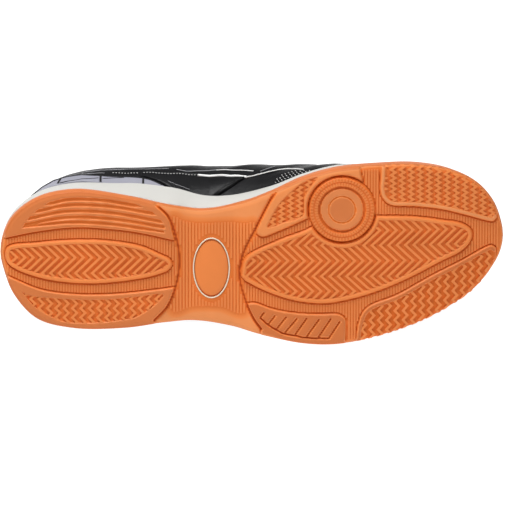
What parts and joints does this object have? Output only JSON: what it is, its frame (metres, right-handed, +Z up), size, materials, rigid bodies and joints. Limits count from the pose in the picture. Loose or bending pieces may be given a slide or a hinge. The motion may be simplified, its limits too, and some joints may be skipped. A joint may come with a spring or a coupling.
{
  "type": "athletic shoe",
  "caption": "Low indoor court shoe with a cupped gum tread, foam midsole, hollow laced upper and heel counter, lying on its outer side.",
  "frame": {"origin": "on the floor, under the centre of the shoe's bounding box", "axes": "+Z up from the floor, +X from heel to toe, the tread faces -Y and a little up"},
  "size_m": [0.3002, 0.121, 0.1051],
  "materials": {
    "gum": "satin",
    "foam": "matte",
    "trim": "satin",
    "black_leather": "satin",
    "counter": "satin",
    "black_fabric": "matte"
  },
  "bodies": {
    "root": {"outsole": "gum", "medallion_ring": "trim", "medallion_plug": "gum", "midsole": "foam", "insole": "black_fabric", "upper": "black_leather", "heel_counter": "counter", "saddle_medial": "black_leather", "saddle_lateral": "black_leather", "eyestay": "black_leather", "tongue": "black_fabric", "lace": "black_fabric"}
  },
  "joints": []
}
